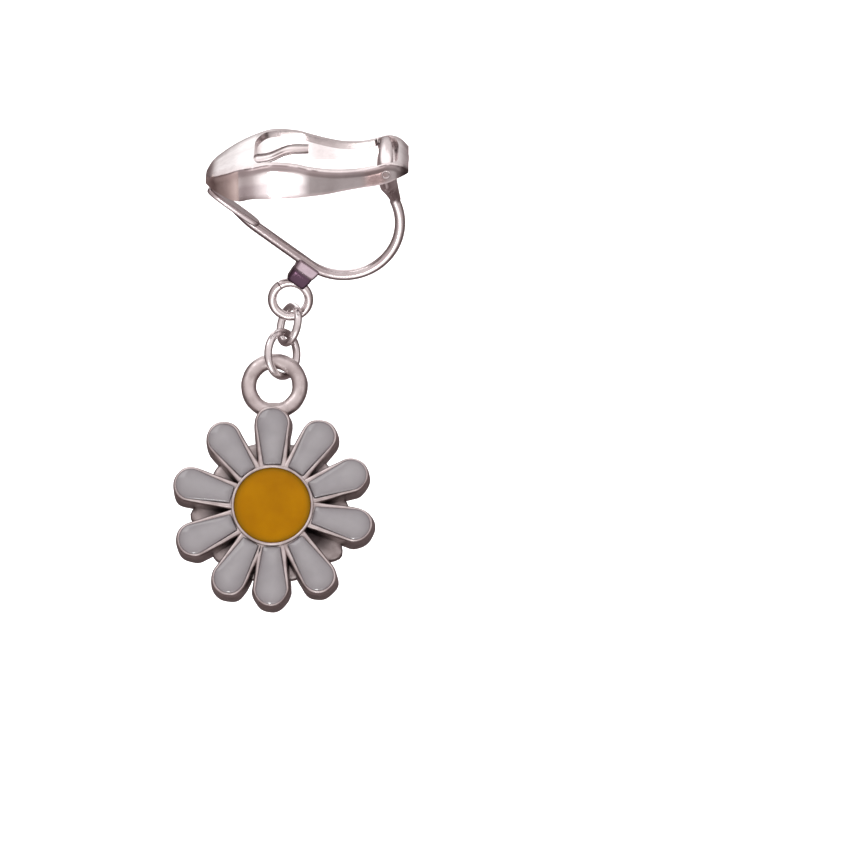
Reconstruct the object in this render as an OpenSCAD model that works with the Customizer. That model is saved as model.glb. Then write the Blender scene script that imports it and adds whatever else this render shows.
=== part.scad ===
// Clip-on drop earring: paddle-back ear clip, two jump rings and an enamelled daisy charm.
// Millimetres. X right, Z up, the front faces -Y. The origin is the middle of the jaw pad's inner face.

/* [View] */
// sub-part to build
// fineness of the round forms
facets = 48; // [24:12:96]

/* [Clip bow] */
// how far the clip leans back about X
clip_tilt = 38; // [0:1:60]
// round wire across
wire_d = 0.82; // [0.7:0.02:1.2]
// slope of the straight front below the horizontal
front_slope = 37.9; // [30:0.1:48]
// straight front from the pad's middle to the bend
front_run = 7.39; // [5:0.05:9]
// bend radius of the bow at the wire's middle
bow_r = 4.35; // [3.5:0.05:5.5]
// where the bow's bend ends, counter-clockwise from X
bow_end = 24; // [18:1:50]
// flattened jaw pad along the front
pad_l = 4.8; // [3.6:0.1:6]
// jaw pad across
pad_w = 1.3; // [1:0.1:5]
// jaw pad thickness
pad_t = 0.45; // [0.35:0.05:1]
// knuckle barrel radius
knuckle_r = 0.72; // [0.6:0.02:1]
// flared plate between wire and knuckle, thickness
flare_t = 0.6; // [0.4:0.05:0.9]

/* [Hanging loop] */
// loop radius at the wire's middle
loop_r = 1.42; // [1.2:0.02:1.8]
// loop wire across
loop_wire_d = 0.7; // [0.5:0.05:0.9]
// loop middle from the pad's middle, along X
loop_x = 4.10; // [3:0.05:5]
// loop middle below the pad's middle, in the clip's own plane
loop_drop = 7.85; // [7:0.05:9]
// open seam of the loop
loop_seam = 0.12; // [0.05:0.01:0.3]
// base block along the front
base_l = 2.0; // [1.2:0.1:2]
// base block across
base_w = 1.3; // [1:0.1:1.6]
// base block height, from the wire's middle to the loop
base_h = 2.0; // [1.6:0.1:2.4]

/* [Paddle] */
// paddle length
paddle_length = 15.05; // [13:0.05:17]
// paddle width at its widest
paddle_width = 8.3; // [6.5:0.1:9.5]
// paddle height from flange edge to crown
paddle_height = 3.1; // [2.5:0.1:4]
// sheet thickness
sheet_t = 0.5; // [0.35:0.05:0.6]
// rail left beside the window
rail_w = 0.85; // [0.7:0.05:1.2]
// spring tongue width
tongue_w = 1.5; // [1:0.1:2]
// spring tongue thickness
tongue_t = 0.35; // [0.25:0.05:0.5]

/* [Hinge] */
// pivot from the pad's middle, along X
pivot_x = 11.56; // [9.5:0.01:12]
// pivot above the pad's middle, in the clip's own plane
pivot_q = 3.80; // [3:0.01:4.5]
// pin across
pin_d = 0.70; // [0.6:0.02:1]
// radial play of the paddle on its pin
pin_play = 0.05; // [0.02:0.01:0.09]
// gap between pieces that stay together
fit_gap = 0.03; // [0.02:0.01:0.06]
// gap between knuckle and flange
side_gap = 0.06; // [0.03:0.01:0.1]

/* [Jump rings] */
// upper ring radius at the wire's middle
upper_r = 1.44; // [1.2:0.02:1.8]
// lower ring radius at the wire's middle
lower_r = 1.70; // [1.4:0.02:2]
// ring wire across
ring_wire_d = 0.62; // [0.5:0.02:0.8]
// upper ring turned about Z
upper_turn = -60; // [-90:1:0]
// lower ring turned about Z
lower_turn = 53; // [0:1:90]
// upper ring lean in the picture plane
upper_lean = 5; // [0:1:12]
// lower ring lean in the picture plane
lower_lean = 10; // [0:1:14]
// upper ring middle below the loop's lowest middle
upper_below = 0.66; // [0.4:0.01:0.9]
// lower ring middle below the upper ring's middle
lower_below = 2.36; // [2:0.01:2.6]
// bail middle below the lower ring's middle
bail_below = 2.54; // [2.2:0.01:3]
// upper ring middle left of the loop's middle
upper_left = 0.12; // [0:0.01:0.8]
// lower ring middle left of the upper ring's middle
lower_left = 0.50; // [0:0.01:0.8]
// bail middle left of the lower ring's middle
bail_left = 0.60; // [0:0.01:0.8]

/* [Charm] */
// flower across its petal tips
flower_d = 15.75; // [13:0.05:18]
// cast metal thickness
charm_t = 2.4; // [1.8:0.1:3]
// petal width at its rounded end
petal_w = 2.85; // [2.2:0.05:3]
// petal width where it leaves the centre
petal_root_w = 1.9; // [1.5:0.1:2.1]
// metal rim round each petal cell
cell_rim = 0.34; // [0.25:0.01:0.5]
// depth of the petal cells
cell_depth = 0.7; // [0.4:0.05:1]
// how far the enamel stays below the rims
enamel_low = 0.06; // [0:0.01:0.2]
// centre cup across its rim
cup_d = 6.3; // [5.6:0.1:7]
// centre cup rim thickness
cup_rim = 0.30; // [0.2:0.01:0.5]
// how far the cup stands in front of the petals
cup_rise = 0.3; // [0:0.05:0.6]
// web behind the petals, across
web_d = 10.8; // [9:0.1:12.5]
// web thickness
web_t = 0.9; // [0.6:0.1:1.4]
// bail radius at the middle of its bar
bail_r = 1.98; // [1.8:0.01:2.4]
// bail bar across
bail_bar_d = 1.2; // [0.9:0.05:1.3]
// bail middle above the flower's middle
bail_up = 9.65; // [9:0.05:10.5]
// flower middle left of the bail's middle
flower_left = 0.03; // [0:0.01:0.5]
// charm's middle plane behind the bail's hanging line
charm_back = 0.0; // [-0.5:0.01:0.5]

/* [Hidden] */
$fn = facets;
wire_r = wire_d / 2;
wire_sink = wire_r + 0.05;
sn = sin(front_slope);
cs = cos(front_slope);
front_end = [front_run * cs - wire_sink * sn, -front_run * sn - wire_sink * cs];
bow_c = front_end + bow_r * [sn, cs];
bow_tip = bow_c + bow_r * [cos(bow_end), sin(bow_end)];
pivot = [pivot_x, pivot_q];
flare_run = norm(pivot - bow_tip);
flare_dir = atan2(pivot[1] - bow_tip[1], pivot[0] - bow_tip[0]);
hinge_half = paddle_width / 2 * 0.82;
knuckle_half = hinge_half - sheet_t - side_gap;
paddle_tip_x = pivot_x - 0.8977 * paddle_length;
loop_c = [loop_x, -loop_drop];
loop_low = [loop_x, sin(clip_tilt) * (loop_drop + loop_r), -cos(clip_tilt) * (loop_drop + loop_r)];
upper_c = loop_low + [-upper_left, 0, -upper_below];
lower_c = upper_c + [-lower_left, 0, -lower_below];
bail_c = lower_c + [-bail_left, 0, -bail_below];
flower_c = bail_c + [-flower_left, charm_back, -bail_up];

// columns: share of the length from the tip, half width as a share of half the paddle's width,
// crown above the pivot and flange edge above the pivot as shares of the paddle's height
paddle_rows = [
  [0.000, 0.240, -0.374, -0.544],
  [0.020, 0.460, -0.279, -0.524],
  [0.050, 0.615, -0.190, -0.554],
  [0.116, 0.775, -0.027, -0.664],
  [0.170, 0.845, 0.096, -0.690],
  [0.236, 0.945, 0.198, -0.577],
  [0.322, 1.000, 0.301, -0.539],
  [0.435, 1.000, 0.267, -0.516],
  [0.502, 0.985, 0.185, -0.490],
  [0.588, 0.930, 0.099, -0.463],
  [0.674, 0.870, 0.051, -0.409],
  [0.767, 0.835, 0.066, -0.340],
  [0.839, 0.830, 0.136, -0.289],
  [0.907, 0.825, 0.223, -0.205],
  [0.960, 0.785, 0.168, -0.088],
  [1.000, 0.620, 0.015, -0.055]
];
// columns: share of the length from the tip, middle of the tongue above the pivot as a share of the height
tongue_rows = [
  [0.150, -0.030],
  [0.290, 0.000],
  [0.400, 0.215],
  [0.505, 0.245]
];
// petal directions, counter-clockwise from X, as cast by hand
petal_angles = [90.5, 57, 22, -13, -57, -90.5, -120, -156.5, 164.7, 125.8];

// a smooth value between rows b and c of a table column
function bend(a, b, c, d, t) =
  0.5 * (2 * b + (c - a) * t + (2 * a - 5 * b + 4 * c - d) * t * t + (3 * b - a - 3 * c + d) * t * t * t);
function blunt(v) = sign(v) * pow(abs(v), 0.6);
function row(rows, i) = rows[max(0, min(len(rows) - 1, i))];
function smooth(rows, col, steps) = [
  for (i = [0 : len(rows) - 2], s = [0 : steps - 1 + (i == len(rows) - 2 ? 1 : 0)])
    bend(row(rows, i - 1)[col], rows[i][col], rows[i + 1][col], row(rows, i + 2)[col], s / steps)
];
paddle_steps = 4;
px = [for (v = smooth(paddle_rows, 0, paddle_steps)) paddle_tip_x + v * paddle_length];
half = [for (v = smooth(paddle_rows, 1, paddle_steps)) v * paddle_width / 2];
crown = [for (v = smooth(paddle_rows, 2, paddle_steps)) pivot_q + v * paddle_height];
edge = [for (v = smooth(paddle_rows, 3, paddle_steps)) pivot_q + v * paddle_height];
last = len(px) - 1;
tongue_x = [for (v = smooth(tongue_rows, 0, paddle_steps)) paddle_tip_x + v * paddle_length];
tongue_q = [for (v = smooth(tongue_rows, 1, paddle_steps)) pivot_q + v * paddle_height];

function ring_of(upper, lower) = concat(upper, [for (i = [len(lower) - 1 : -1 : 0]) lower[i]]);
function side_outer() = ring_of(
  [for (i = [0 : last]) [px[i], crown[i]]],
  [for (i = [0 : last]) [px[i], edge[i]]]);
function side_inner() = ring_of(
  [for (i = [0 : last]) [px[i], crown[i] - sheet_t]],
  [[px[0], pivot_q - 2 * paddle_height], [px[last], pivot_q - 2 * paddle_height]]);
function plan_of(inset, from, to) = let (
  keep = [for (i = [0 : last]) if (px[i] > from && px[i] < to && half[i] > inset + 0.08) i]
) ring_of([for (i = keep) [px[i], half[i] - inset]], [for (i = keep) [px[i], inset - half[i]]]);

// lifts a shape drawn in the clip's plane (x along, y up) to a solid of that width about the plane
module across(w) {
  rotate([90, 0, 0]) linear_extrude(height = w, center = true) children();
}

module clip_pose() {
  rotate([clip_tilt, 0, 0]) children();
}

module bow_solid() {
  // jaw pad
  rotate([0, front_slope, 0]) translate([0, 0, -pad_t]) linear_extrude(height = pad_t)
    polygon([for (a = [0 : 15 : 345]) [pad_l / 2 * blunt(cos(a)), pad_w / 2 * blunt(sin(a))]]);
  // straight front wire
  rotate([0, front_slope, 0]) translate([0, 0, -wire_sink]) rotate([0, 90, 0]) cylinder(r = wire_r, h = front_run);
  // bend
  translate([bow_c[0], 0, bow_c[1]]) rotate([90, 0, 0]) rotate([0, 0, 270 - front_slope])
    rotate_extrude(angle = bow_end + 90 + front_slope) translate([bow_r, 0]) circle(r = wire_r);
  translate([bow_tip[0], 0, bow_tip[1]]) sphere(r = wire_r * 1.06);
  // end of the wire, flaring into the knuckle
  translate([bow_tip[0], 0, bow_tip[1]]) rotate([0, 90 - flare_dir, 0]) cylinder(r = wire_r, h = flare_run);
  translate([bow_tip[0], 0, bow_tip[1]]) rotate([0, -flare_dir, 0])
    linear_extrude(height = flare_t, center = true)
      polygon([[0, wire_r * 0.8], [flare_run, knuckle_half * 0.96], [flare_run, -knuckle_half * 0.96], [0, -wire_r * 0.8]]);
  translate([pivot[0], 0, pivot[1]]) rotate([90, 0, 0])
    cylinder(r = knuckle_r, h = 2 * knuckle_half, center = true);
  // base block and hanging loop
  translate([front_end[0], 0, front_end[1]]) rotate([0, front_slope, 0])
    translate([0.06 - base_l / 2, -base_w / 2, -base_h + 0.1]) cube([base_l, base_w, base_h]);
  translate([loop_c[0], 0, loop_c[1]]) rotate([90, 0, 0]) rotate([0, 0, 122])
    rotate_extrude(angle = 360 - loop_seam / loop_r * 180 / PI) translate([loop_r, 0]) circle(d = loop_wire_d);
}

module clip_bow() {
  color([0.80, 0.78, 0.78]) clip_pose() difference() {
    bow_solid();
    translate([pivot[0], 0, pivot[1]]) rotate([90, 0, 0])
      cylinder(r = pin_d / 2 + fit_gap, h = paddle_width, center = true);
  }
}

module clip_paddle() {
  color([0.82, 0.80, 0.80]) clip_pose() difference() {
    union() {
      difference() {
        intersection() {
          across(paddle_width + 1) polygon(side_outer());
          linear_extrude(height = 8 * paddle_height, center = true) polygon(plan_of(0, -99, 99));
        }
        intersection() {
          across(paddle_width + 1) polygon(side_inner());
          linear_extrude(height = 8 * paddle_height, center = true)
            polygon(plan_of(sheet_t, px[0] + sheet_t, px[last] - sheet_t));
        }
        // window
        translate([0, 0, pivot_q]) linear_extrude(height = 3 * paddle_height)
          polygon(plan_of(rail_w, paddle_tip_x + 0.235 * paddle_length, paddle_tip_x + 0.95 * paddle_length));
      }
      // spring tongue
      across(tongue_w) polygon(ring_of(
        [for (i = [0 : len(tongue_x) - 1]) [tongue_x[i], tongue_q[i] + tongue_t / 2]],
        [for (i = [0 : len(tongue_x) - 1]) [tongue_x[i], tongue_q[i] - tongue_t / 2]]));
    }
    // room for the knuckle between the rails, then the pin's holes
    translate([pivot[0], 0, pivot[1]]) rotate([90, 0, 0])
      cylinder(r = knuckle_r + side_gap, h = 2 * knuckle_half + side_gap, center = true);
    translate([pivot[0], 0, pivot[1]]) rotate([90, 0, 0])
      cylinder(r = pin_d / 2 + pin_play, h = 2 * paddle_width, center = true);
  }
}

module hinge_pin() {
  color([0.86, 0.84, 0.84]) clip_pose() translate([pivot[0], 0, pivot[1]]) rotate([90, 0, 0])
    difference() {
      cylinder(d = pin_d, h = 2 * hinge_half + 0.2, center = true);
      for (side = [-1, 1]) translate([0, 0, side * (hinge_half + 0.1 + pin_d * 0.36)]) sphere(r = pin_d * 0.45);
    }
}

// a round link standing upright, turned about Z and leaned in the picture plane
module link(middle, radius, turn, lean) {
  translate(middle) rotate([0, lean, 0]) rotate([0, 0, turn]) rotate([90, 0, 0])
    rotate_extrude() translate([radius, 0]) circle(d = ring_wire_d);
}

module upper_ring() {
  color([0.80, 0.78, 0.78]) link(upper_c, upper_r, upper_turn, upper_lean);
}

module lower_ring() {
  color([0.80, 0.78, 0.78]) link(lower_c, lower_r, lower_turn, lower_lean);
}

// a petal outline along X: a round end and two straight sides that taper towards the centre
module petal_outline(reach, end_r, from, root_half) {
  run = reach - end_r - from;
  far = norm([run, root_half]);
  lift = asin(end_r / far) - atan2(root_half, run);
  side_l = sqrt(far * far - end_r * end_r);
  touch = [from + side_l * cos(lift), root_half + side_l * sin(lift)];
  translate([reach - end_r, 0]) circle(r = end_r);
  polygon([[from, -root_half], [touch[0], -touch[1]], [reach - end_r, -end_r * 0.5],
    [reach - end_r, end_r * 0.5], [touch[0], touch[1]], [from, root_half]]);
}

// the same form drawn in by a rim, for the cell and its enamel
module petal_cell(inset) {
  end_r = petal_w / 2 - inset;
  end_x = (flower_d - petal_w) / 2;
  from = cup_d / 2 - cell_rim + inset + 0.05;
  root_half = petal_root_w / 2 - inset;
  translate([end_x, 0]) circle(r = end_r);
  polygon([[from, -root_half], [end_x, -end_r * 0.96], [end_x, end_r * 0.96], [from, root_half]]);
}

// puts a shape drawn flat (x right, y up) on the charm, from depth a to depth b behind its front
module charm_layer(a, b) {
  translate(flower_c + [0, -charm_t / 2 + b, 0]) rotate([90, 0, 0]) linear_extrude(height = b - a) children();
}

module daisy_charm() {
  color([0.50, 0.46, 0.45]) {
    difference() {
      union() {
        for (a = petal_angles)
          charm_layer(0, charm_t) rotate(a)
            petal_outline(flower_d / 2, petal_w / 2, cup_d / 4, petal_root_w / 2);
        charm_layer(-cup_rise, charm_t) circle(d = cup_d);
        charm_layer(charm_t - web_t, charm_t) circle(d = web_d);
      }
      for (a = petal_angles)
        charm_layer(-1, cell_depth) rotate(a) petal_cell(cell_rim);
      charm_layer(-1, cell_depth) circle(d = cup_d - 2 * cup_rim);
    }
    translate(bail_c + [0, charm_back, 0]) rotate([90, 0, 0])
      rotate_extrude() translate([bail_r, 0]) circle(d = bail_bar_d);
    // neck between bail and top petal
    difference() {
      charm_layer(charm_t / 2 - bail_bar_d * 0.4, charm_t / 2 + bail_bar_d * 0.4)
        translate([flower_left * 0.5, (flower_d / 2 + bail_up - bail_r) / 2])
          square([petal_w * 0.95, bail_up - bail_r - flower_d / 2 + 1.4], center = true);
      translate(bail_c + [0, charm_back, 0]) rotate([90, 0, 0]) cylinder(r = bail_r, h = 3 * charm_t, center = true);
    }
  }
}

module petal_enamel(i) {
  color([0.86, 0.86, 0.88]) charm_layer(enamel_low, cell_depth - fit_gap) rotate(petal_angles[i])
    petal_cell(cell_rim + fit_gap);
}

module centre_enamel() {
  color([0.85, 0.55, 0.08]) charm_layer(enamel_low - cup_rise, cell_depth - fit_gap)
    circle(d = cup_d - 2 * cup_rim - 2 * fit_gap);
}

module petal_enamel_01() { petal_enamel(0); }
module petal_enamel_02() { petal_enamel(1); }
module petal_enamel_03() { petal_enamel(2); }
module petal_enamel_04() { petal_enamel(3); }
module petal_enamel_05() { petal_enamel(4); }
module petal_enamel_06() { petal_enamel(5); }
module petal_enamel_07() { petal_enamel(6); }
module petal_enamel_08() { petal_enamel(7); }
module petal_enamel_09() { petal_enamel(8); }
module petal_enamel_10() { petal_enamel(9); }

clip_bow();
clip_paddle();
hinge_pin();
upper_ring();
lower_ring();
daisy_charm();
petal_enamel_01();
petal_enamel_02();
petal_enamel_03();
petal_enamel_04();
petal_enamel_05();
petal_enamel_06();
petal_enamel_07();
petal_enamel_08();
petal_enamel_09();
petal_enamel_10();
centre_enamel();
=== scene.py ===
import bpy, bmesh, math
from mathutils import Matrix, Vector, noise


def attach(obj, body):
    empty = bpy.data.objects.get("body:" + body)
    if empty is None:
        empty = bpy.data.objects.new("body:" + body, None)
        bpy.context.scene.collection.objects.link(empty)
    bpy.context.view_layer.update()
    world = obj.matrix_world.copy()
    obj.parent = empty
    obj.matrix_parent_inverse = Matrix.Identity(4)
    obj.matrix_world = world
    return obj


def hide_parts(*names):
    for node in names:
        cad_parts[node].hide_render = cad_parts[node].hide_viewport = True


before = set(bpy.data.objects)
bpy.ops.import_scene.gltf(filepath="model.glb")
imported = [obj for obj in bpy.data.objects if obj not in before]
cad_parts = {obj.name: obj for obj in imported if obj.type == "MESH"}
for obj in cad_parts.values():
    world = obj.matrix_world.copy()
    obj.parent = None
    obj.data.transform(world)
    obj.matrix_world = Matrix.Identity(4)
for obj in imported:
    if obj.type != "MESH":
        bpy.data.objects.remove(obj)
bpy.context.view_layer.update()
print("frame loaded")

mm = 0.001
mmScale = Matrix.Diagonal((mm, mm, mm, 1))
clipTilt = math.radians(38)  # how far the clip leans back about X
upright = Matrix.Rotation(math.pi / 2, 4, "X")


def clipPoint(p, q, w):
    # p along the clip, q away from the bow, w towards the camera, in mm; the result is in metres
    sn, cs = math.sin(clipTilt), math.cos(clipTilt)
    return Vector((p, -w * cs - q * sn, q * cs - w * sn)) * mm


def circleAngles(count):
    return [math.tau * k / count for k in range(count)]


def blunt(value, power):
    # squares a circle's sine or cosine off, the more the smaller the power
    return math.copysign(abs(value) ** power, value)


def newPiece(name, verts, faces, material, sharp=35, merge=True):
    mesh = bpy.data.meshes.new(name)
    mesh.from_pydata([tuple(v) for v in verts], [], faces)
    piece = bpy.data.objects.new(name, mesh)
    bpy.context.collection.objects.link(piece)
    if merge:
        mesh.validate()
    work = bmesh.new()
    work.from_mesh(mesh)
    if merge:
        bmesh.ops.remove_doubles(work, verts=work.verts, dist=2e-6)
    bmesh.ops.recalc_face_normals(work, faces=work.faces)
    work.to_mesh(mesh)
    work.free()
    mesh.shade_smooth()
    mesh.set_sharp_from_angle(angle=math.radians(sharp))
    mesh.materials.append(material)
    return piece


def joinParts(parts):
    verts, faces = [], []
    for partVerts, partFaces in parts:
        start = len(verts)
        verts.extend(partVerts)
        faces.extend([tuple(i + start for i in face) for face in partFaces])
    return verts, faces


def loftLoops(loops, capEnd=True, wrap=False):
    # joins loops of equal length; wrap joins the last one to the first
    count = len(loops[0])
    verts = [v for loop in loops for v in loop]
    faces = []
    rows = len(loops) if wrap else len(loops) - 1
    for i in range(rows):
        j = (i + 1) % len(loops)
        for k in range(count):
            n = (k + 1) % count
            faces.append((i * count + k, i * count + n, j * count + n, j * count + k))
    if not wrap:
        faces.append(tuple(reversed(range(count))))
    if capEnd and not wrap:
        faces.append(tuple(range((len(loops) - 1) * count, len(loops) * count)))
    return verts, faces


def sweepTube(points, radii, sides, closed=False, flat=None):
    # a tube through the points; flat gives each point's (half width, half height) and the width direction
    loops = []
    total = len(points)
    side = None
    for i, point in enumerate(points):
        if closed:
            ahead, behind = points[(i + 1) % total], points[i - 1]
        else:
            ahead, behind = points[min(i + 1, total - 1)], points[max(i - 1, 0)]
        along = (ahead - behind).normalized()
        if flat is not None:
            side = flat[1]
        elif side is None:
            side = along.orthogonal()
        side = (side - along * side.dot(along)).normalized()
        up = along.cross(side)
        wide, high = flat[0][i] if flat is not None else (radii[i], radii[i])
        loops.append([point + side * math.cos(a) * wide + up * math.sin(a) * high for a in circleAngles(sides)])
    return loftLoops(loops, wrap=closed)


def revolve(profile, place, steps):
    # profile rows are (radius, height) in mm, turned about the local Z of place
    verts = [place @ Vector((r * math.cos(a), r * math.sin(a), h)) for a in circleAngles(steps) for r, h in profile]
    count = len(profile)
    faces = []
    for i in range(steps):
        j = (i + 1) % steps
        for k in range(count - 1):
            faces.append((i * count + k, j * count + k, j * count + k + 1, i * count + k + 1))
    return verts, faces


def smoothRow(rows, column, steps):
    # one column of a table, with steps - 1 values on a smooth curve between each pair
    values = [row[column] for row in rows]
    result = []
    for i in range(len(values) - 1):
        a, b, c, d = values[max(i - 1, 0)], values[i], values[i + 1], values[min(i + 2, len(values) - 1)]
        for s in range(steps):
            t = s / steps
            result.append(0.5 * (2 * b + (c - a) * t + (2 * a - 5 * b + 4 * c - d) * t * t
                                 + (3 * b - a - 3 * c + d) * t ** 3))
    result.append(values[-1])
    return result


def bendAt(rows, column, share):
    # one column of a table at any value of its first column
    for a, b in zip(rows, rows[1:]):
        if share <= b[0]:
            break
    t = min(max((share - a[0]) / (b[0] - a[0]), 0), 1)
    return a[column] + (b[column] - a[column]) * t


def ease(low, high, value):
    # 0 at low, 1 at high, with soft ends; low may be above high
    t = min(max((value - low) / (high - low), 0), 1)
    return t * t * (3 - 2 * t)


def blendTone(a, b, t):
    return tuple(u + (v - u) * t for u, v in zip(a, b))


def paintToneAndLight(piece, tone):
    # tone gives a colour factor for a point (p, q, w) in the clip's own frame, in mm; on bow, paddle and tongue it is
    # painted reflection and shade
    sn, cs = math.sin(clipTilt), math.cos(clipTilt)
    attribute = piece.data.attributes.new("toneAndPaintedLight", "FLOAT_COLOR", "POINT")
    for vertex, row in zip(piece.data.vertices, attribute.data):
        x, y, z = vertex.co / mm
        row.color = (*tone(x, z * cs - y * sn, -y * cs - z * sn), 1)


def shadePiece(piece, name, shades):
    attribute = piece.data.attributes.new(name, "FLOAT", "POINT")
    attribute.data.foreach_set("value", shades)


def makeMaterial(name):
    material = bpy.data.materials.new(name)
    material.use_nodes = True
    return material, material.node_tree.nodes, material.node_tree.links, material.node_tree.nodes["Principled BSDF"]


def noiseNode(nodes, links, scale, detail, coordinate, rough=0.5):
    node = nodes.new("ShaderNodeTexNoise")
    node.inputs["Scale"].default_value = scale
    node.inputs["Detail"].default_value = detail
    node.inputs["Roughness"].default_value = rough
    links.new(coordinate, node.inputs["Vector"])
    return node


def rampNode(nodes, links, source, stops):
    node = nodes.new("ShaderNodeValToRGB")
    ramp = node.color_ramp
    while len(ramp.elements) < len(stops):
        ramp.elements.new(0.5)
    for element, (position, colour) in zip(ramp.elements, stops):
        element.position = position
        element.color = (*colour, 1)
    links.new(source, node.inputs["Fac"])
    return node


def attributeNode(nodes, name):
    node = nodes.new("ShaderNodeAttribute")
    node.attribute_name = name
    return node


def mixNode(nodes, links, first, kind="MIX"):
    # first is the colour socket that goes in at A
    node = nodes.new("ShaderNodeMix")
    node.data_type = "RGBA"
    node.blend_type = kind
    node.inputs["Factor"].default_value = 1
    links.new(first, node.inputs["A"])
    return node


def bumpNode(nodes, links, height, strength, distance, shader):
    node = nodes.new("ShaderNodeBump")
    node.inputs["Strength"].default_value = strength
    node.inputs["Distance"].default_value = distance
    links.new(height, node.inputs["Height"])
    links.new(node.outputs["Normal"], shader.inputs["Normal"])


# the bright plating of clip, pin and rings
platedLook = {
    "colours": [(0.30, (0.70, 0.65, 0.65)), (0.50, (0.84, 0.80, 0.80)), (0.72, (0.91, 0.88, 0.88))],
    "rough": [(0.3, (0.14,) * 3), (0.7, (0.26,) * 3)],
    "patch": 420, "patchDetail": 4, "fine": 5200, "fineDetail": 3, "fineRough": 0.7,
    "bump": 0.10, "bumpDeep": 0.00002,
}


def platedMaterial(name, withToneAndLight=False):
    look = platedLook
    material, nodes, links, shader = makeMaterial(name)
    place = nodes.new("ShaderNodeTexCoord").outputs["Object"]
    patch = noiseNode(nodes, links, look["patch"], look["patchDetail"], place)
    colour = rampNode(nodes, links, patch.outputs["Fac"], look["colours"]).outputs["Color"]
    # the per-point factor multiplies the plating: painted reflection and shade on bow, paddle and tongue
    if withToneAndLight:
        mix = mixNode(nodes, links, colour, "MULTIPLY")
        links.new(attributeNode(nodes, "toneAndPaintedLight").outputs["Color"], mix.inputs["B"])
        colour = mix.outputs["Result"]
    links.new(colour, shader.inputs["Base Color"])
    fine = noiseNode(nodes, links, look["fine"], look["fineDetail"], place, look["fineRough"])
    gloss = rampNode(nodes, links, fine.outputs["Fac"], look["rough"])
    links.new(gloss.outputs["Color"], shader.inputs["Roughness"])
    shader.inputs["Metallic"].default_value = 1
    bumpNode(nodes, links, fine.outputs["Fac"], look["bump"], look["bumpDeep"], shader)
    return material


# the charm's duller cast metal, darkened in its recesses by patina and painted shade
castLook = {
    "colours": [(0.40, (0.56, 0.495, 0.485)), (0.58, (0.74, 0.67, 0.66))], "deep": (0.035, 0.025, 0.025),
    "rough": [(0.3, (0.26,) * 3), (0.7, (0.44,) * 3)],
    "patch": 900, "patchDetail": 5, "grain": 3800, "grainDetail": 4, "grainRough": 0.6,
    "bump": 0.35, "bumpDeep": 0.00006,
}


def castMaterial():
    look = castLook
    material, nodes, links, shader = makeMaterial("castMetal")
    place = nodes.new("ShaderNodeTexCoord").outputs["Object"]
    patch = noiseNode(nodes, links, look["patch"], look["patchDetail"], place)
    colour = rampNode(nodes, links, patch.outputs["Fac"], look["colours"]).outputs["Color"]
    mix = mixNode(nodes, links, colour)
    links.new(attributeNode(nodes, "patinaAndShade").outputs["Fac"], mix.inputs["Factor"])
    mix.inputs["B"].default_value = (*look["deep"], 1)
    links.new(mix.outputs["Result"], shader.inputs["Base Color"])
    grain = noiseNode(nodes, links, look["grain"], look["grainDetail"], place, look["grainRough"])
    gloss = rampNode(nodes, links, grain.outputs["Fac"], look["rough"])
    links.new(gloss.outputs["Color"], shader.inputs["Roughness"])
    shader.inputs["Metallic"].default_value = 1
    bumpNode(nodes, links, patch.outputs["Fac"], look["bump"], look["bumpDeep"], shader)
    return material


# the edge colours are painted shade where the domed glaze curves down to its rim
enamelLook = {
    "white": {"low": (0.235, 0.228, 0.238), "high": (0.275, 0.27, 0.277), "edge": (0.10, 0.082, 0.09),
              "rough": 0.10, "gloss": 0.8},
    "amber": {"low": (0.32, 0.134, 0.0), "high": (0.37, 0.16, 0.0), "edge": (0.20, 0.10, 0.001),
              "rough": 0.14, "gloss": 0.05},
    "cloud": 500, "cloudDetail": 3, "coatRough": 0.04, "bump": 0.05, "bumpDeep": 0.00003,
}


def enamelMaterial(kind):
    look, shade = enamelLook, enamelLook[kind]
    material, nodes, links, shader = makeMaterial(kind + "Enamel")
    place = nodes.new("ShaderNodeTexCoord").outputs["Object"]
    cloud = noiseNode(nodes, links, look["cloud"], look["cloudDetail"], place)
    colour = rampNode(nodes, links, cloud.outputs["Fac"], [(0.35, shade["low"]), (0.65, shade["high"])])
    # the rim attribute mixes in the edge colour as painted shade
    mix = mixNode(nodes, links, colour.outputs["Color"])
    links.new(attributeNode(nodes, "rim").outputs["Fac"], mix.inputs["Factor"])
    mix.inputs["B"].default_value = (*shade["edge"], 1)
    links.new(mix.outputs["Result"], shader.inputs["Base Color"])
    shader.inputs["Roughness"].default_value = shade["rough"]
    shader.inputs["Specular IOR Level"].default_value = shade["gloss"]
    shader.inputs["Coat Weight"].default_value = shade["gloss"]
    shader.inputs["Coat Roughness"].default_value = look["coatRough"]
    bumpNode(nodes, links, cloud.outputs["Fac"], look["bump"], look["bumpDeep"], shader)
    return material


plated = platedMaterial("platedMetal")
platedToneAndLight = platedMaterial("platedToneAndLight", True)
castMetal = castMaterial()
whiteEnamel = enamelMaterial("white")
amberEnamel = enamelMaterial("amber")
print("materials made")

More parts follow.
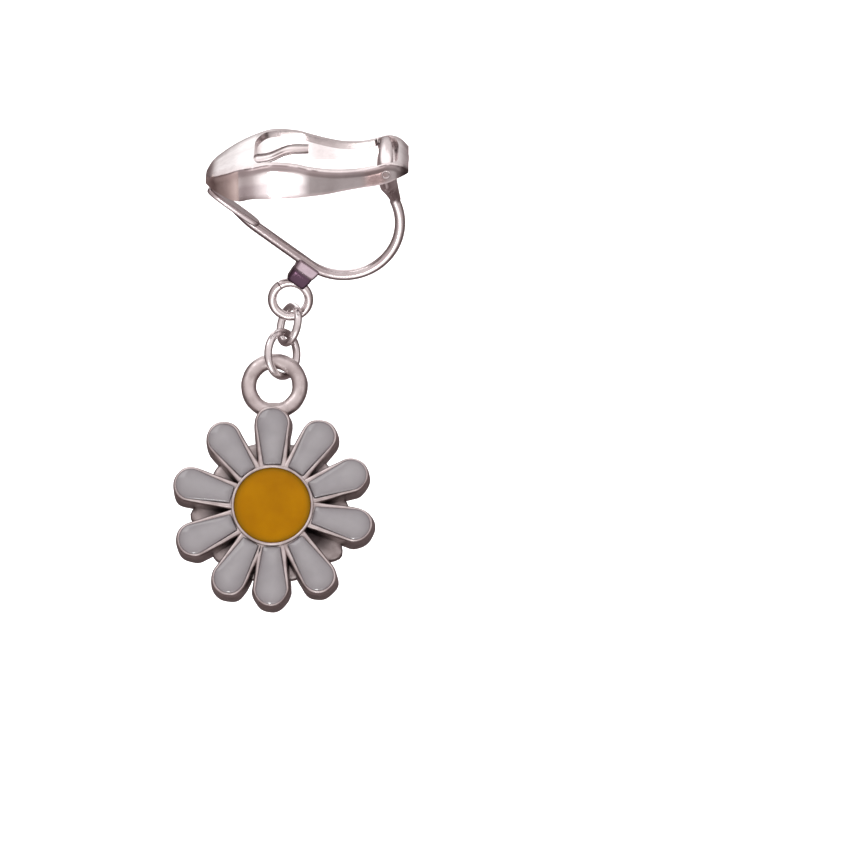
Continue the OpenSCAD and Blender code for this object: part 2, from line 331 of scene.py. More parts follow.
# lengths in mm, wire sizes are radii
bowForm = {
    "wire": 0.41, "sink": 0.05, "slope": math.radians(37.9), "run": 7.39, "bend": 4.35, "end": 24, "sides": 24,
    "thinFrom": -1.9, "thinTo": 2.3, "thinWire": 0.15,  # the wire tapers off under the pad
    "padLong": 2.4, "padWide": 0.65, "padPower": 0.6,
    "pivot": (11.56, 3.80), "knuckle": 0.72, "knuckleHalf": 2.84, "bore": 0.38,
    "flareShift": 0.06, "flareStart": 0.35, "flareShare": 0.96, "flareHalf": 0.3, "gusset": 0.3,
    "loop": (4.10, -7.85), "loopRadius": 1.42, "loopWire": 0.35, "loopFrom": 124.5, "loopSweep": 355.5,
    # painted reflections: plain, darker on the lower front and the loop, a painted highlight on the end by the knuckle
    "paintedLights": {"plain": (0.90, 0.87, 0.87), "front": (0.58, 0.53, 0.535), "end": (1.0, 0.95, 0.95)},
}
# inset of the outline, depth
padRows = [(0.30, -0.45), (0.10, -0.43), (0.03, -0.39), (0, -0.33), (0, -0.12), (0.03, -0.05), (0.09, -0.01),
           (0.20, 0.0), (0.40, 0.0)]
knuckleEdge = [(0.1, 0), (0.03, 0.04), (0, 0.12)]  # inset, distance from the end


def frontEnd():
    # where the straight front of the bow meets its bend, on the wire's middle line
    form = bowForm
    sn, cs = math.sin(form["slope"]), math.cos(form["slope"])
    sink = form["wire"] + form["sink"]
    return (form["run"] * cs - sink * sn, -form["run"] * sn - sink * cs), sn, cs


def hingePlace():
    p, q = bowForm["pivot"]
    return Matrix.Rotation(clipTilt, 4, "X") @ Matrix.Translation(Vector((p, 0, q)) * mm) @ upright @ mmScale


def bowPaintedLight(p, q, w):
    paintedLights = bowForm["paintedLights"]
    tone = blendTone(paintedLights["plain"], paintedLights["front"], ease(9.5, 6.0, p) * ease(-7.0, -6.0, q))
    return blendTone(tone, paintedLights["end"], ease(0.8, 2.2, q) * ease(9.0, 10.0, p) * ease(12.2, 11.6, p))


def makeWire(frontSteps=40, bendSteps=64, flareSteps=24):
    form = bowForm
    wire, (front, sn, cs) = form["wire"], frontEnd()
    start = form["thinFrom"]
    reach = [start + (form["run"] - start) * k / frontSteps for k in range(frontSteps)]
    thin = [form["thinWire"] + (wire - form["thinWire"]) * ease(start, form["thinTo"], t) for t in reach]
    path = [(t * cs - (r + form["sink"]) * sn, -t * sn - (r + form["sink"]) * cs) for t, r in zip(reach, thin)]
    middle = (front[0] + form["bend"] * sn, front[1] + form["bend"] * cs)
    first = 270 - math.degrees(form["slope"])
    sweep = form["end"] + 360 - first
    for a in (math.radians(first + sweep * k / bendSteps) for k in range(bendSteps + 1)):
        path.append((middle[0] + form["bend"] * math.cos(a), middle[1] + form["bend"] * math.sin(a)))
    shape = [(r, r) for r in thin] + [(wire, wire)] * (len(path) - len(thin))
    tip, pivot = path[-1], form["pivot"]
    for t in (k / flareSteps for k in range(1, flareSteps + 1)):  # the end that widens to the knuckle
        bulge = form["gusset"] * ease(0.0, 0.5, t) * ease(1.0, 0.7, t)
        path.append((tip[0] + (pivot[0] - tip[0]) * t + form["flareShift"] - bulge, tip[1] + (pivot[1] - tip[1]) * t))
        wide = wire + form["flareStart"] * ease(0.0, 0.27, t)
        wide += (form["knuckleHalf"] * form["flareShare"] - wire - form["flareStart"]) * ease(0.22, 0.58, t)
        shape.append((wide, wire + bulge + (form["flareHalf"] - wire) * ease(0.3, 0.8, t)))
    points = [clipPoint(p, q, 0) for p, q in path]
    across = clipPoint(0, 0, 1).normalized()
    return sweepTube(points, None, form["sides"], flat=([(a * mm, b * mm) for a, b in shape], across))


def makePad(steps=96):
    form = bowForm
    place = Matrix.Rotation(clipTilt, 4, "X") @ Matrix.Rotation(form["slope"], 4, "Y") @ mmScale
    loops = []
    for inset, depth in padRows:
        long, wide = form["padLong"] - inset, form["padWide"] - inset
        loops.append([place @ Vector((long * blunt(math.cos(a), form["padPower"]),
                                      wide * blunt(math.sin(a), form["padPower"]), depth))
                      for a in circleAngles(steps)])
    return loftLoops(loops)


def makeKnuckle():
    form = bowForm
    half, radius, bore = form["knuckleHalf"], form["knuckle"], form["bore"]
    profile = [(bore, -half)] + [(radius - inset, -half + edge) for inset, edge in knuckleEdge]
    profile += [(radius - inset, half - edge) for inset, edge in reversed(knuckleEdge)]
    profile += [(bore, half), (bore, -half)]
    return revolve(profile, hingePlace(), 48)


def makeLoop(steps=80):
    form = bowForm
    middle, radius = form["loop"], form["loopRadius"]
    angles = [math.radians(form["loopFrom"] + form["loopSweep"] * i / steps) for i in range(steps + 1)]
    points = [clipPoint(middle[0] + radius * math.cos(a), middle[1] + radius * math.sin(a), 0) for a in angles]
    return sweepTube(points, [form["loopWire"] * mm] * len(points), 20)


bow = newPiece("clip_bow_wire", *joinParts([makeWire(), makePad(), makeKnuckle(), makeLoop()]), platedToneAndLight)
paintToneAndLight(bow, bowPaintedLight)
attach(bow, "clip")
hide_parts("clip_bow")

blockForm = {
    "long": 1.95, "wide": 1.3, "shift": 0.08, "taper": 0.2, "power": 0.3,
    # height above the wire's middle line, inset of the outline; the groove parts the strip from the block
    "rows": [(0.10, 0.12), (0.0, 0), (-0.3, 0), (-0.6, 0), (-0.72, 0.02), (-0.78, 0.05), (-0.84, 0.03), (-1.1, 0),
             (-1.5, 0), (-1.76, 0), (-1.84, 0.03), (-1.88, 0.08), (-1.90, 0.16)],
    "dark": (0.085, 0.05, 0.075), "strip": (0.48, 0.40, 0.45), "edge": (-0.80, -0.74),
}


def makeBlock(steps=56):
    form = blockForm
    front, sn, cs = frontEnd()
    loops = []
    for b, inset in form["rows"]:
        size = 1 + form["taper"] * min(b, 0) / 2
        long, wide = form["long"] / 2 * size - inset, form["wide"] / 2 * size - inset
        loop = []
        for angle in circleAngles(steps):
            a = long * blunt(math.cos(angle), form["power"]) + form["shift"]
            w = wide * blunt(math.sin(angle), form["power"])
            loop.append(clipPoint(front[0] + a * cs + b * sn, front[1] - a * sn + b * cs, w))
        loops.append(loop)
    piece = newPiece("loop_base", *loftLoops(loops), platedToneAndLight, 40)
    paintToneAndLight(piece, lambda p, q, w: blendTone(
        form["dark"], form["strip"], ease(*form["edge"], (p - front[0]) * sn + (q - front[1]) * cs)))
    return piece


block = makeBlock()
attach(block, "clip")
print("bow made")

paddleForm = {
    "length": 15.05, "width": 8.3, "height": 3.1, "sheet": 0.5, "pivotShare": 0.8977, "fold": 0.20, "grow": 0.03,
    "rail": 0.85, "windowFrom": 0.235, "windowTo": 0.952, "corner": 0.9, "hingeRoom": 0.82, "hingeGap": 0.04,
    "bevel": 0.09, "tongueWide": 1.5, "tongueThick": 0.35, "tongueCorner": 0.08, "tongueTaper": 0.22,
}
paddleTip = bowForm["pivot"][0] - paddleForm["pivotShare"] * paddleForm["length"]
# shares: length from the tip, half width, crown and lower edge above the pivot as shares of the height
paddleRows = [
    (0.000, 0.240, -0.374, -0.544), (0.020, 0.460, -0.279, -0.524), (0.050, 0.615, -0.190, -0.554),
    (0.116, 0.775, -0.027, -0.664), (0.170, 0.845, 0.096, -0.690), (0.236, 0.945, 0.198, -0.577),
    (0.322, 1.000, 0.301, -0.539), (0.435, 1.000, 0.267, -0.516), (0.502, 0.985, 0.185, -0.490),
    (0.588, 0.930, 0.099, -0.463), (0.674, 0.870, 0.051, -0.409), (0.767, 0.835, 0.066, -0.340),
    (0.839, 0.830, 0.136, -0.289), (0.907, 0.825, 0.223, -0.205), (0.960, 0.785, 0.168, -0.088),
    (1.000, 0.620, 0.015, -0.055)]
tongueRows = [(0.150, -0.03), (0.290, 0.0), (0.400, 0.215), (0.505, 0.245)]  # length, middle of the tongue
flangeSteps = (0, 0.08, 0.2, 0.35, 0.5, 0.65, 0.8, 0.9, 1)  # from the lower edge to the fold
foldAngles = (18, 36, 54, 72, 90)
webColumns = 8
# painted reflections and shade on the plating, by place
paddlePaintedLights = {
    "web": (1, 1, 1), "tip": (0.50, 0.44, 0.43), "farRailTip": (0.40, 0.36, 0.355), "farRail": (0.58, 0.54, 0.535),
    "nearRail": (0.84, 0.79, 0.79), "farSide": (1, 0.99, 0.99), "farSideHinge": (0.70, 0.63, 0.63),
    "tan": (0.97, 0.86, 0.81), "tanTop": (0.74, 0.63, 0.60), "bright": (0.98, 0.96, 0.96),
    "brightLow": (0.80, 0.76, 0.77), "grey": (0.29, 0.265, 0.265), "underFold": (0.42, 0.36, 0.36),
    "hinge": (0.25, 0.19, 0.185), "lowEdge": (0.42, 0.37, 0.37),
}


def paddleRow(rows, column, steps, start, size):
    return [start + s * size for s in smoothRow(rows, column, steps)]


def paddlePaintedLightAt(p, q, w):
    form, pivot, paintedLights = paddleForm, bowForm["pivot"], paddlePaintedLights
    share = (p - pivot[0]) / form["length"] + form["pivotShare"]
    half = bendAt(paddleRows, 1, share) * form["width"] / 2
    top = pivot[1] + bendAt(paddleRows, 2, share) * form["height"]
    low = pivot[1] + bendAt(paddleRows, 3, share) * form["height"]
    level = (q - low) / (top - low)  # 0 at the lower edge, 1 at the crown
    # web and rails: painted reflections, the web white, the rails greyer, darker at the tip
    if level > 0.93 or abs(w) < half - form["sheet"] * 0.7:  # web and rails
        rail = ease(half - form["rail"] - 0.5, half - form["rail"] - 0.08, abs(w))
        farRail = blendTone(paintedLights["farRailTip"], paintedLights["farRail"], ease(0.20, 0.34, share))
        tone = blendTone(paintedLights["web"], farRail if w < 0 else paintedLights["nearRail"], rail)
        return blendTone(tone, paintedLights["tip"], ease(0.06, 0.02, share))
    # far flange: painted reflection, darker near the hinge
    if w < 0:  # far flange
        return blendTone(paintedLights["farSide"], paintedLights["farSideHinge"], ease(0.84, 0.93, share))
    # near flange: painted reflections, bright towards the tip and grey towards the hinge, with painted shade under the
    # fold, by the hinge and along the lower edge
    if share < 0.165:  # near flange, from the tip on
        return blendTone(paintedLights["tan"], paintedLights["tanTop"], ease(0.5, 0.95, level) * ease(0.02, 0.1, share))
    tone = blendTone(paintedLights["bright"], paintedLights["brightLow"], ease(0.55, 0.42, level))
    tone = blendTone(tone, paintedLights["grey"], ease(0.46, 0.52, share))
    tone = blendTone(tone, paintedLights["underFold"], ease(0.70, 0.93, level))
    tone = blendTone(tone, paintedLights["hinge"], ease(0.76, 0.82, share) * ease(0.95, 0.6, level) * ease(0.93, 0.87, share))
    return blendTone(tone, paintedLights["lowEdge"], ease(0.14, 0.0, level))


def windowReach(p, half, windowEnds):
    # half the window's width at p, narrowed to round its corners; outside the window, a row of the web's mesh
    form = paddleForm
    near = min(p - windowEnds[0], windowEnds[1] - p)
    reach = max(half - form["rail"], 0.25)
    if abs(p - bowForm["pivot"][0]) < form["hingeRoom"]:
        reach = max(reach, bowForm["knuckleHalf"] + form["hingeGap"])
    if near < form["corner"]:
        curve = math.sqrt(max(0.0, 1 - (1 - max(near, 0) / form["corner"]) ** 2))
        reach = max(0.25, reach * (0.55 + 0.45 * curve))
    return reach


def makePaddle(steps=6):
    form, pivot = paddleForm, bowForm["pivot"]
    px = paddleRow(paddleRows, 0, steps, paddleTip, form["length"])
    half = [s * form["width"] / 2 for s in smoothRow(paddleRows, 1, steps)]
    crown = paddleRow(paddleRows, 2, steps, pivot[1], form["height"])
    edge = paddleRow(paddleRows, 3, steps, pivot[1], form["height"])
    windowEnds = [paddleTip + form[name] * form["length"] for name in ("windowFrom", "windowTo")]
    inset = form["sheet"] / 2
    verts, faces = [], []
    for p, halfWidth, crownHere, low in zip(px, half, crown, edge):
        h = halfWidth - inset + form["grow"]
        top = crownHere - inset + form["grow"]
        fold = min(form["fold"], h * 0.8, (top - low) * 0.45)
        reach = min(windowReach(p, halfWidth, windowEnds), h - fold * 0.5)
        flange = [(h, low + (top - fold - low) * t) for t in flangeSteps]
        bend = [(h - fold + fold * math.cos(a), top - fold + fold * math.sin(a))
                for a in map(math.radians, foldAngles)]
        reach = min(reach, h - fold)
        flatTop = [(h - fold + (reach - (h - fold)) * t, top) for t in (0.5, 1)]
        web = [(reach * (1 - 2 * k / webColumns), top) for k in range(1, webColumns // 2)]
        halfRow = flange + bend + flatTop + web
        row = halfRow + [(0, top)] + [(-w, q) for w, q in reversed(halfRow)]
        verts.extend(clipPoint(p, q, w) for w, q in row)
    count = len(row)
    first = len(flangeSteps) + len(foldAngles) + 1  # the first column that the window leaves out
    for i in range(len(px) - 1):
        inWindow = px[i] >= windowEnds[0] - 0.02 and px[i + 1] <= windowEnds[1] + 0.02
        for k in range(count - 1):
            if inWindow and first <= k < count - 1 - first:
                continue
            a = i * count + k
            faces.append((a, a + 1, a + count + 1, a + count))
    for base in (0, (len(px) - 1) * count):  # tip and heel
        for k in range(count // 2):
            faces.append((base + k, base + k + 1, base + count - 2 - k, base + count - 1 - k))
    piece = newPiece("paddle_lever", verts, faces, platedToneAndLight, 60)
    paintToneAndLight(piece, paddlePaintedLightAt)
    thick = piece.modifiers.new("sheet", "SOLIDIFY")
    thick.thickness = form["sheet"] * mm
    thick.offset = 0
    edges = piece.modifiers.new("edges", "BEVEL")
    edges.width = form["bevel"] * mm
    edges.segments = 2
    edges.limit_method = "ANGLE"
    edges.angle_limit = math.radians(50)
    soft = piece.modifiers.new("soft", "SUBSURF")
    soft.levels = soft.render_levels = 1
    return piece


paddle = makePaddle()
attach(paddle, "paddle")
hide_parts("clip_paddle")


def makeTongue(steps=8):
    form = paddleForm
    xs = paddleRow(tongueRows, 0, steps, paddleTip, form["length"])
    qs = paddleRow(tongueRows, 1, steps, bowForm["pivot"][1], form["height"])
    high, corner = form["tongueThick"] / 2, form["tongueCorner"]
    flat = high * 0.5
    loops = []
    for i, (p, q) in enumerate(zip(xs, qs)):
        t = i / (len(xs) - 1)
        wide = form["tongueWide"] / 2 * (1 - form["tongueTaper"] * max(0, t - 0.85) / 0.15)
        loops.append([clipPoint(p, q + dq, w) for w, dq in (
            (wide, flat), (wide - corner, high), (-wide + corner, high), (-wide, flat),
            (-wide, -flat), (-wide + corner, -high), (wide - corner, -high), (wide, -flat))])
    piece = newPiece("spring_tongue", *loftLoops(loops), platedToneAndLight, 50)
    # painted reflection: bright at the root, greyer towards the free end
    root, end = (0.95, 0.93, 0.93), (0.78, 0.73, 0.72)
    paintToneAndLight(piece, lambda p, q, w: blendTone(root, end, ease(xs[0] + 2.2, xs[0] + 3.4, p)))
    return piece


tongue = makeTongue()
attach(tongue, "paddle")

# half length; radius and distance from the end, with a dimple in each head
pinForm = {"half": 3.50, "rows": [(0, 0.16), (0.12, 0.13), (0.21, 0.04), (0.28, 0), (0.33, 0.03), (0.35, 0.1)]}


def makePin():
    half, rows = pinForm["half"], pinForm["rows"]
    profile = [(r, -half + edge) for r, edge in rows] + [(r, half - edge) for r, edge in reversed(rows)]
    return newPiece("hinge_rivet", *revolve(profile, hingePlace(), 40), plated)


pin = makePin()
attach(pin, "clip")
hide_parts("hinge_pin")
print("paddle made")

chainDepth = 5.7072  # Y of loop, rings and bail
ringForm = {
    "upper_ring": {"middle": (3.98, chainDepth, -7.9649), "radius": 1.44, "turn": -60, "lean": 5, "seam": 200},
    "lower_ring": {"middle": (3.48, chainDepth, -10.3249), "radius": 1.70, "turn": 53, "lean": 10, "seam": 100},
}
ringWire = {"radius": 0.31, "gap": 1.2, "steps": 90, "sides": 18}  # the gap at the seam is in degrees


def makeRing(name, form):
    place = Matrix.Translation(Vector(form["middle"])) @ Matrix.Rotation(math.radians(form["lean"]), 4, "Y") \
        @ Matrix.Rotation(math.radians(form["turn"]), 4, "Z") @ upright
    gap, steps = ringWire["gap"], ringWire["steps"]
    angles = [math.radians(form["seam"] + gap / 2 + (360 - gap) * k / steps) for k in range(steps + 1)]
    points = [place @ Vector((form["radius"] * math.cos(a), form["radius"] * math.sin(a), 0)) * mm for a in angles]
    wire = sweepTube(points, [ringWire["radius"] * mm] * len(points), ringWire["sides"])
    return newPiece(name + "_wire", *wire, plated)


for ringName, ringShape in ringForm.items():
    ring = makeRing(ringName, ringShape)
    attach(ring, "drop")
    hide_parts(ringName)
print("rings made")

charmForm = {
    "across": 15.75, "thick": 2.4, "petal": 2.85, "root": 1.9, "rim": 0.34, "cell": 0.7,
    "cup": 6.3, "cupRim": 0.24, "rise": 0.3, "web": 10.8,
    "bail": 1.98, "bar": 0.60, "bailUp": 9.65, "bailMiddle": (2.88, chainDepth, -12.8649), "flowerLeft": 0.03,
    "neckWide": 1.30, "neckWaist": 0.20, "neckHigh": 0.50, "neckLong": 1.35,
}
petalAngles = [90.5, 57, 22, -13, -57, -90.5, -120, -156.5, 164.7, 125.8]
# depth behind the front, inset of the outline
petalWall = [(2.40, 0.10), (2.36, 0.0), (2.26, -0.06), (1.8, -0.07), (1.3, -0.05), (0.80, -0.02), (0.35, 0.02),
             (0.16, 0.06), (0.06, 0.11), (0.0, 0.17)]
petalRim = [(0.0, 0.23), (0.02, 0.28), (0.07, 0.32), (0.14, 0.34), (0.40, 0.345), (0.70, 0.36)]
# depth, share of the web's radius: a disc at the back covers the petals' roots, and the middle is left to the cup
webRows = [(2.42, 0.0), (2.42, 0.58), (2.40, 0.61), (2.35, 0.62), (2.35, 0.90), (2.33, 0.98), (2.25, 1.0),
           (1.70, 1.0), (1.56, 0.975), (1.50, 0.92), (1.50, 0.84), (1.50, 0.76), (1.50, 0.68), (1.50, 0.60),
           (1.50, 0.40)]
# thin flash of the casting between petals: direction in degrees, reach, width
webFlash = [(184, 0.95, 9), (325, 0.95, 9), (220, 0.45, 8), (3, 0.35, 8), (253, 0.25, 7), (287, 0.25, 7)]


def charmPoint(x, y, depth):
    # x right and y up from the flower's middle, depth behind the petals' front
    form = charmForm
    bailX, bailY, bailZ = form["bailMiddle"]
    return Vector((bailX - form["flowerLeft"] + x, bailY - form["thick"] / 2 + depth, bailZ - form["bailUp"] + y)) * mm


def charmPlace():
    return Matrix.Translation(charmPoint(0, 0, 0)) @ upright @ mmScale


def petalLoop(inset, root, angle, toSpine=0.0, wave=0.0, seed=0.0, tipSteps=24, sideSteps=8):
    # a petal's outline: a round tip and two sides that taper to the root; toSpine draws it in to its middle line
    form = charmForm
    endX = (form["across"] - form["petal"]) / 2
    endR = form["petal"] / 2 - inset
    rootHalf = max(form["root"] / 2 - inset, 0.05)
    slope = math.atan2(endR - rootHalf, endX - root)
    first = math.radians(-90) - slope
    tip = [(endX + endR * math.cos(a), endR * math.sin(a))
           for a in (first + (math.pi + 2 * slope) * k / tipSteps for k in range(tipSteps + 1))]
    (lowX, lowY), (highX, highY) = tip[0], tip[-1]
    low = [(root + (lowX - root) * k / sideSteps, -rootHalf + (lowY + rootHalf) * k / sideSteps)
           for k in range(1, sideSteps)]
    high = [(highX + (root - highX) * k / sideSteps, highY + (rootHalf - highY) * k / sideSteps)
            for k in range(1, sideSteps)]
    outline = [(root, rootHalf * (1 - 0.5 * k)) for k in range(5)] + low + tip + high
    result = []
    turn = math.radians(angle)
    for x, y in outline:
        spineX = min(max(x, root + 0.7), endX)
        x = spineX + (x - spineX) * (1 - toSpine) if toSpine else x
        y = y * (1 - toSpine)
        if wave:
            push = noise.noise(Vector((x * 0.8 + seed, y * 0.8, seed * 1.7))) * wave
            x, y = x * (1 + push / 8), y * (1 + push / 2)
        result.append((x * math.cos(turn) - y * math.sin(turn), x * math.sin(turn) + y * math.cos(turn)))
    return result


def castPetal(number, angle):
    # the wall, then the rim and the cell's inside
    seed, flower = number * 3.1, charmPoint(0, 0, 1)
    loops, patinaAndShade = [], []
    rows = [(depth, inset, 1.6, 0.10 + 0.08 * ease(0.3, 1.6, depth)) for depth, inset in petalWall]
    rows += [(depth, inset, 2.4 if depth < 0.02 else 3.2 + (inset - 0.30), 0.04) for depth, inset in petalRim]
    for depth, inset, root, wave in rows:
        loop = [charmPoint(x, y, depth) for x, y in petalLoop(inset, root, angle, wave=wave, seed=seed)]
        loops.append(loop)
        front = ease(2.39, 2.2, depth)  # the flat back gets no patina or painted shade
        # patina and painted shade: walls darker the deeper they lie and the nearer the cup
        wall, deep = 0.36 * ease(0.15, 1.2, depth), 0.6 * ease(0.1, 0.5, depth)
        patinaAndShade.extend([0.14 + front * (wall + deep * ease(5.2, 3.6, (v - flower).length / mm)) for v in loop])
    return loftLoops(loops), patinaAndShade


def castCup(steps=80):
    form = charmForm
    cup, rim, rise, back = form["cup"] / 2, form["cupRim"], form["rise"], -form["thick"]
    profile = [(cup - 0.1, back + 0.2), (cup, back + 0.3), (cup, -0.2), (cup, rise - 0.12), (cup - 0.03, rise - 0.04),
               (cup - 0.1, rise), (cup - rim + 0.1, rise), (cup - rim + 0.03, rise - 0.04), (cup - rim, rise - 0.12),
               (cup - rim, -form["cell"])]
    # the cup's wall below the petals' front is dark with patina and painted shade
    return revolve(profile, charmPlace(), steps), [0.1 if h > 0 else 0.75 for _ in range(steps) for r, h in profile]


def castWeb(steps=120):
    loops, patinaAndShade = [], []
    for depth, size in webRows:
        loop = []
        for a in circleAngles(steps):
            flash = sum(high * math.exp(-((math.degrees(a) - at) / wide) ** 2) for at, high, wide in webFlash)
            ripple = 0.30 * noise.noise(Vector((math.cos(a) * 3.2, math.sin(a) * 3.2, 3.0)))
            r = (charmForm["web"] / 2 + flash + ripple) * max(size, 0.02)
            loop.append(charmPoint(r * math.cos(a), r * math.sin(a), depth))
        loops.append(loop)
        # patina and painted shade: the web between the petals dark, darkest near the cup
        patinaAndShade.extend([0.97 - 0.55 * ease(0.66, 0.92, size) if depth < 2 else 0.1] * steps)
    return loftLoops(loops, capEnd=False), patinaAndShade


def castBail(steps=96):
    form = charmForm
    left, up, bail = form["flowerLeft"], form["bailUp"], form["bail"]
    points = [charmPoint(left + bail * math.cos(a), up + bail * math.sin(a), form["thick"] / 2)
              for a in circleAngles(steps)]
    radii = [form["bar"] * mm * (1 + 0.05 * noise.noise(Vector((k * 0.22, 1.3, 0)))) for k in range(steps)]
    part = sweepTube(points, radii, 24, closed=True)
    return part, [0.12] * len(part[0])


def castNeck(steps=8, sides=28, power=0.6):
    # joins the bail to the top petal
    form = charmForm
    loops = []
    for s in (t / steps for t in range(steps + 1)):
        y = form["across"] / 2 - 1.0 + s * form["neckLong"]
        wide = form["neckWide"] - form["neckWaist"] * math.sin(math.pi * s)
        loops.append([charmPoint(0.07 + wide * blunt(math.cos(a), power), y,
                                 form["thick"] / 2 + form["neckHigh"] * blunt(math.sin(a), power))
                      for a in circleAngles(sides)])
    part = loftLoops(loops)
    return part, [0.3] * len(part[0])


def makeCasting():
    made = [castPetal(number, angle) for number, angle in enumerate(petalAngles)]
    made += [castCup(), castWeb(), castBail(), castNeck()]
    piece = newPiece("daisy_casting", *joinParts([part for part, patinaAndShade in made]), castMetal, 50, merge=False)
    shadePiece(piece, "patinaAndShade", [shade for part, patinaAndShade in made for shade in patinaAndShade])
    return piece


casting = makeCasting()
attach(casting, "drop")
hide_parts("daisy_charm")

# depth, share of the way to the petal's middle line, painted shade towards the glaze's edge
enamelRows = [(0.66, 0.0, 1), (0.06, 0.0, 1), (0.02, -0.03, 1), (-0.01, -0.09, 1), (-0.05, -0.10, 0.85),
              (-0.09, -0.06, 0.62), (-0.13, 0.03, 0.45), (-0.18, 0.18, 0.30), (-0.23, 0.38, 0.16), (-0.27, 0.6, 0.06),
              (-0.29, 0.82, 0), (-0.295, 1.0, 0)]


def makeEnamel(number, angle):
    loops = [[charmPoint(x, y, depth) for x, y in petalLoop(charmForm["rim"] + 0.02, 3.26, angle, toSpine=spine)]
             for depth, spine, shade in enamelRows]
    piece = newPiece("petal_glaze_%02d" % number, *loftLoops(loops, capEnd=False), whiteEnamel, 40)
    front = charmPoint(0, 0, 0).y / mm
    # painted shade: darker towards the glaze's edge
    shadePiece(piece, "rim", [bendAt(enamelRows[::-1], 2, v.co.y / mm - front) for v in piece.data.vertices])
    return piece


for index, petalAngle in enumerate(petalAngles):
    glaze = makeEnamel(index + 1, petalAngle)
    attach(glaze, "drop")
    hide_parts("petal_enamel_%02d" % (index + 1))

# heights of edge and middle above the petals' front
centreForm = {"radius": 2.91, "foot": -0.66, "edge": 0.16, "middle": 0.30,
              "dome": (0.04, 0.1, 0.2, 0.35, 0.5, 0.7, 0.85, 1)}


def makeCentre():
    form = centreForm
    r, edge = form["radius"], form["edge"]
    profile = [(0, form["foot"]), (r, form["foot"]), (r, edge - 0.02), (r - 0.03, edge + 0.01)]
    profile += [(r * (1 - t), edge + (form["middle"] - edge) * (1 - (1 - t) ** 2.5)) for t in form["dome"]]
    piece = newPiece("centre_glaze", *revolve(profile, charmPlace(), 80), amberEnamel, 40)
    middle = charmPoint(0, 0, 0)
    # painted shade: the amber darkens towards its outer edge
    shadePiece(piece, "rim", [ease(0.86 * r, r, math.hypot(v.co.x - middle.x, v.co.z - middle.z) / mm)
                              for v in piece.data.vertices])
    return piece


centre = makeCentre()
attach(centre, "drop")
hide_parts("centre_enamel")
print("charm made")

# lengths in metres
stageForm = {"half": 1.2, "front": -0.9, "floor": -0.15, "bendFrom": 0.10, "bend": 0.15, "top": 0.9,
             "tone": 0.92, "rough": 0.9, "glow": 0.62}


def makeStage():
    # a pale sheet that turns up behind the object
    form = stageForm
    start, floor, bend = form["bendFrom"], form["floor"], form["bend"]
    rows = [(form["front"], floor), (start, floor)]
    rows += [(start + bend * math.sin(a), floor + bend * (1 - math.cos(a)))
             for a in map(math.radians, range(10, 91, 10))]
    rows += [(start + bend, form["top"])]
    verts = [(x, y, z) for y, z in rows for x in (-form["half"], form["half"])]
    faces = [(2 * i, 2 * i + 1, 2 * i + 3, 2 * i + 2) for i in range(len(rows) - 1)]
    material, nodes, links, shader = makeMaterial("paleFloor")
    shader.inputs["Base Color"].default_value = (form["tone"], form["tone"], form["tone"], 1)
    shader.inputs["Roughness"].default_value = form["rough"]
    shader.inputs["Emission Color"].default_value = (1, 1, 1, 1)
    shader.inputs["Emission Strength"].default_value = form["glow"]
    floor = newPiece("pale_floor", verts, faces, material, 80)
    floor.visible_glossy = False


# name, place, aim, size, power
lightRows = [
    ("keyLight", (-0.25, -0.30, 0.35), (0, 0, -0.01), (0.30, 0.30), 0.30),
    ("fillLight", (0.40, -0.25, 0.05), (0, 0, -0.01), (0.25, 0.35), 0.08),
    ("topLight", (0.0, 0.05, 0.40), (0, 0, -0.01), (0.40, 0.30), 0.24),
    ("lowLight", (-0.03, -0.20, -0.27), (0, 0, -0.02), (0.05, 0.05), 0.12),
]


def makeLight(name, place, aim, size, power):
    data = bpy.data.lights.new(name, "AREA")
    data.shape = "RECTANGLE"
    data.size, data.size_y = size
    data.energy = power
    light = bpy.data.objects.new(name, data)
    light.location = place
    light.rotation_euler = (Vector(aim) - Vector(place)).to_track_quat("-Z", "Y").to_euler()
    bpy.context.collection.objects.link(light)


# the surroundings that the metal mirrors: along the view, and from low to high
worldForm = {
    "strength": 1.3,
    "depth": [(0.0, (0.90, 0.86, 0.86)), (0.30, (0.58, 0.53, 0.53)), (0.60, (0.12, 0.09, 0.09)),
              (1.0, (0.20, 0.16, 0.16))],
    "height": [(0.05, (1.00, 0.98, 0.98)), (0.30, (0.80, 0.77, 0.77)), (0.55, (0.80, 0.77, 0.77)),
               (0.85, (1.25, 1.25, 1.27))],
    # direction, full within and gone beyond these degrees, colour
    "patches": [((0, -0.454, -0.891), 12, 34, (1.25, 1.22, 1.22)), ((0, 0.454, 0.891), 10, 36, (0.62, 0.58, 0.58)),
                ((-0.272, 0.514, 0.813), 5, 15, (1.02, 1.0, 1.0))],
}


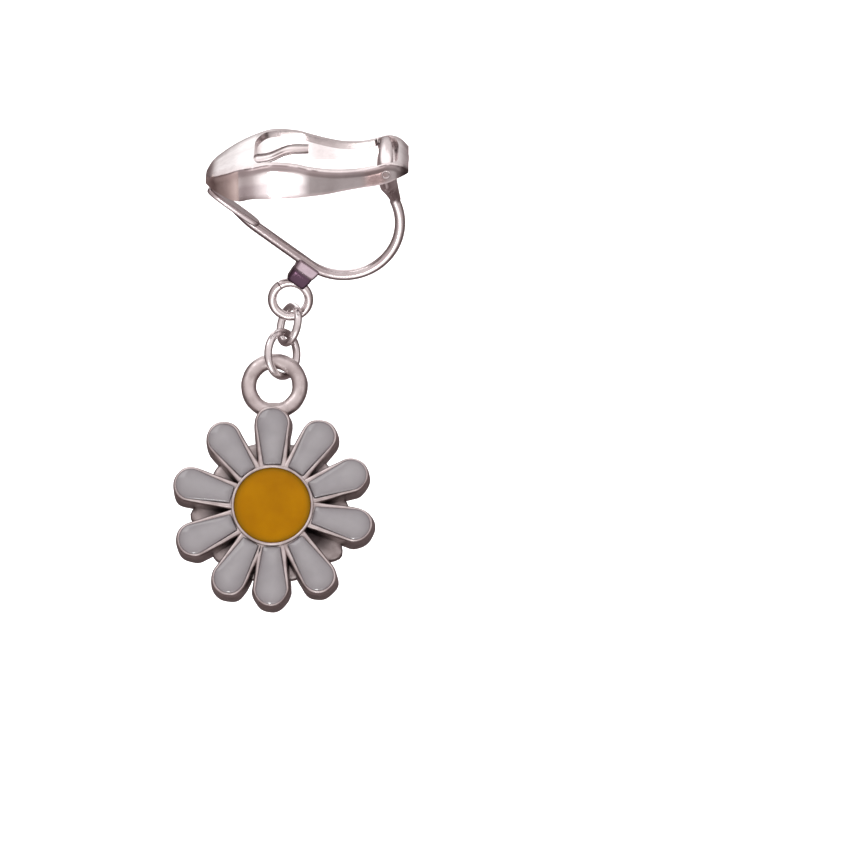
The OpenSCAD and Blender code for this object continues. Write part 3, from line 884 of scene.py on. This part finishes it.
def makeWorld():
    form = worldForm
    world = bpy.data.worlds.new("softStudio")
    bpy.context.scene.world = world
    world.use_nodes = True
    nodes, links = world.node_tree.nodes, world.node_tree.links
    place = nodes.new("ShaderNodeTexCoord").outputs["Generated"]
    split = nodes.new("ShaderNodeSeparateXYZ")
    links.new(place, split.inputs[0])
    ramps = []
    for axis, stops in (("Y", form["depth"]), ("Z", form["height"])):
        span = nodes.new("ShaderNodeMapRange")
        span.inputs["From Min"].default_value = -1
        links.new(split.outputs[axis], span.inputs["Value"])
        ramps.append(rampNode(nodes, links, span.outputs["Result"], stops).outputs["Color"])
    mix = mixNode(nodes, links, ramps[0], "MULTIPLY")
    links.new(ramps[1], mix.inputs["B"])
    total = mix.outputs["Result"]
    for aim, inner, outer, colour in form["patches"]:
        dot = nodes.new("ShaderNodeVectorMath")
        dot.operation = "DOT_PRODUCT"
        links.new(place, dot.inputs[0])
        dot.inputs[1].default_value = Vector(aim).normalized()
        glow = nodes.new("ShaderNodeMapRange")
        glow.interpolation_type = "SMOOTHSTEP"
        glow.inputs["From Min"].default_value = math.cos(math.radians(outer))
        glow.inputs["From Max"].default_value = math.cos(math.radians(inner))
        links.new(dot.outputs["Value"], glow.inputs["Value"])
        join = mixNode(nodes, links, total)
        links.new(glow.outputs["Result"], join.inputs["Factor"])
        join.inputs["B"].default_value = (*colour, 1)
        total = join.outputs["Result"]
    links.new(total, nodes["Background"].inputs["Color"])
    nodes["Background"].inputs["Strength"].default_value = form["strength"]


# the photo's picture is 850 px wide at 13.1 px per mm, and its middle is (right, up) of the origin in mm
viewForm = {"lift": math.radians(-13), "away": 0.30, "frame": 850 / 13.1 * mm, "photoMiddle": (14.48, -16.81),
            "sensor": 36, "clip": 0.01}


def makeCamera():
    form = viewForm
    along = Vector((0, math.cos(form["lift"]), -math.sin(form["lift"])))
    up = Vector((0, math.sin(form["lift"]), math.cos(form["lift"])))
    aim = (Vector((1, 0, 0)) * form["photoMiddle"][0] + up * form["photoMiddle"][1]) * mm
    data = bpy.data.cameras.new("photoCamera")
    data.lens = form["sensor"] * form["away"] / form["frame"]
    data.clip_start = form["clip"]
    camera = bpy.data.objects.new("photoCamera", data)
    camera.location = aim - along * form["away"]
    camera.rotation_euler = along.to_track_quat("-Z", "Y").to_euler()
    bpy.context.collection.objects.link(camera)
    bpy.context.scene.camera = camera


makeStage()
makeWorld()
for lightRow in lightRows:
    makeLight(*lightRow)
makeCamera()
bpy.context.scene.view_settings.view_transform = "Standard"
print("stage made")
